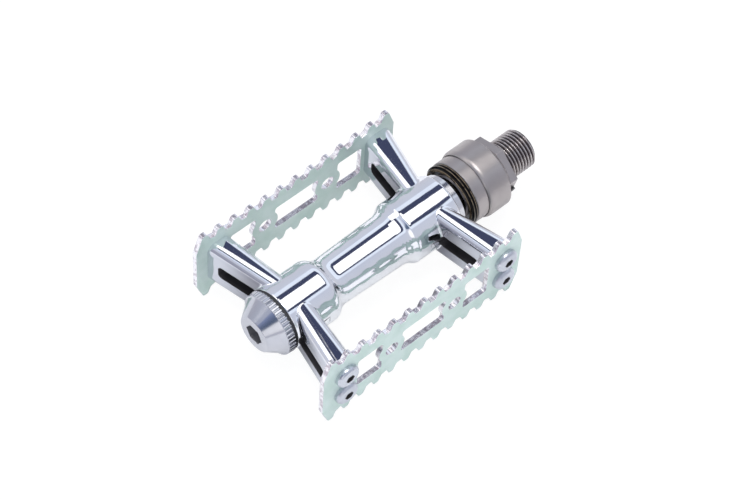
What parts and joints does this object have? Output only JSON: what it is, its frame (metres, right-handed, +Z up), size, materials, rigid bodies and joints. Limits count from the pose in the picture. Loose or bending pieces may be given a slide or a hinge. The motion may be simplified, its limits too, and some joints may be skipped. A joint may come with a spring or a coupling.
{
  "type": "detachable bicycle pedal",
  "caption": "Platform bicycle pedal with a toothed two-plate cage that unplugs from a screw-in crank adapter when the adapter's sliding collar is pushed towards the crank.",
  "frame": {"origin": "on the spindle axis at the crank shoulder, the crank-side face of the adapter's spanner flange", "axes": "+X runs along the spindle into the crank, +Z is up out of the tread, +Y completes the right-handed set and points to the left cage plate"},
  "size_m": [0.1158, 0.0676, 0.0324],
  "materials": {
    "body": "polished",
    "plate": "satin, pale anodised",
    "adapter_metal": "satin",
    "black_ring": "gloss",
    "screw_metal": "satin",
    "cap_metal": "satin",
    "seal": "matte",
    "bearing_metal": "ground",
    "spindle_metal": "polished",
    "spring_metal": "drawn wire"
  },
  "bodies": {
    "pedal": {"pedal_body": "body", "cage_plate_left": "plate", "cage_plate_right": "plate", "cage_screws_left": "screw_metal", "cage_screws_right": "screw_metal", "inboard_cup": "bearing_metal", "outboard_cup": "bearing_metal", "spindle_seal": "seal", "cap_seal": "seal", "dust_cap": "cap_metal"},
    "spindle": {"spindle": "spindle_metal", "bearing_cone": "bearing_metal", "lock_washer": "bearing_metal", "lock_nut": "bearing_metal"},
    "inboard_ball_ring": {"inboard_balls": "bearing_metal"},
    "outboard_ball_ring": {"outboard_balls": "bearing_metal"},
    "adapter": {"adapter_body": "adapter_metal", "flange_pin": "black_ring", "collar_clip": "spring_metal", "lock_ring": "spring_metal"},
    "collar": {"release_collar": "adapter_metal", "front_ring": "black_ring", "return_spring": "spring_metal"}
  },
  "joints": [
    {"name": "spindle_spin", "type": "hinge", "parent": "pedal", "child": "spindle", "pos_m": [0, 0, 0], "axis": [1, 0, 0], "continuous": true},
    {"name": "inboard_balls_spin", "type": "hinge", "parent": "pedal", "child": "inboard_ball_ring", "pos_m": [0, 0, 0], "axis": [1, 0, 0], "continuous": true},
    {"name": "outboard_balls_spin", "type": "hinge", "parent": "pedal", "child": "outboard_ball_ring", "pos_m": [0, 0, 0], "axis": [1, 0, 0], "continuous": true},
    {"name": "adapter_pull", "type": "slide", "parent": "spindle", "child": "adapter", "axis": [1, 0, 0], "range_m": [0, 0.025], "deforming": ["lock_ring"]},
    {"name": "collar_push", "type": "slide", "parent": "adapter", "child": "collar", "axis": [1, 0, 0], "range_m": [0, 0.0028], "stiffness_N_per_m": 2000, "springref_m": -0.002, "deforming": ["return_spring"]}
  ],
  "couplings": [
    {"joint": "inboard_balls_spin", "follows": "spindle_spin", "ratio": 0.388},
    {"joint": "outboard_balls_spin", "follows": "spindle_spin", "ratio": 0.388}
  ]
}
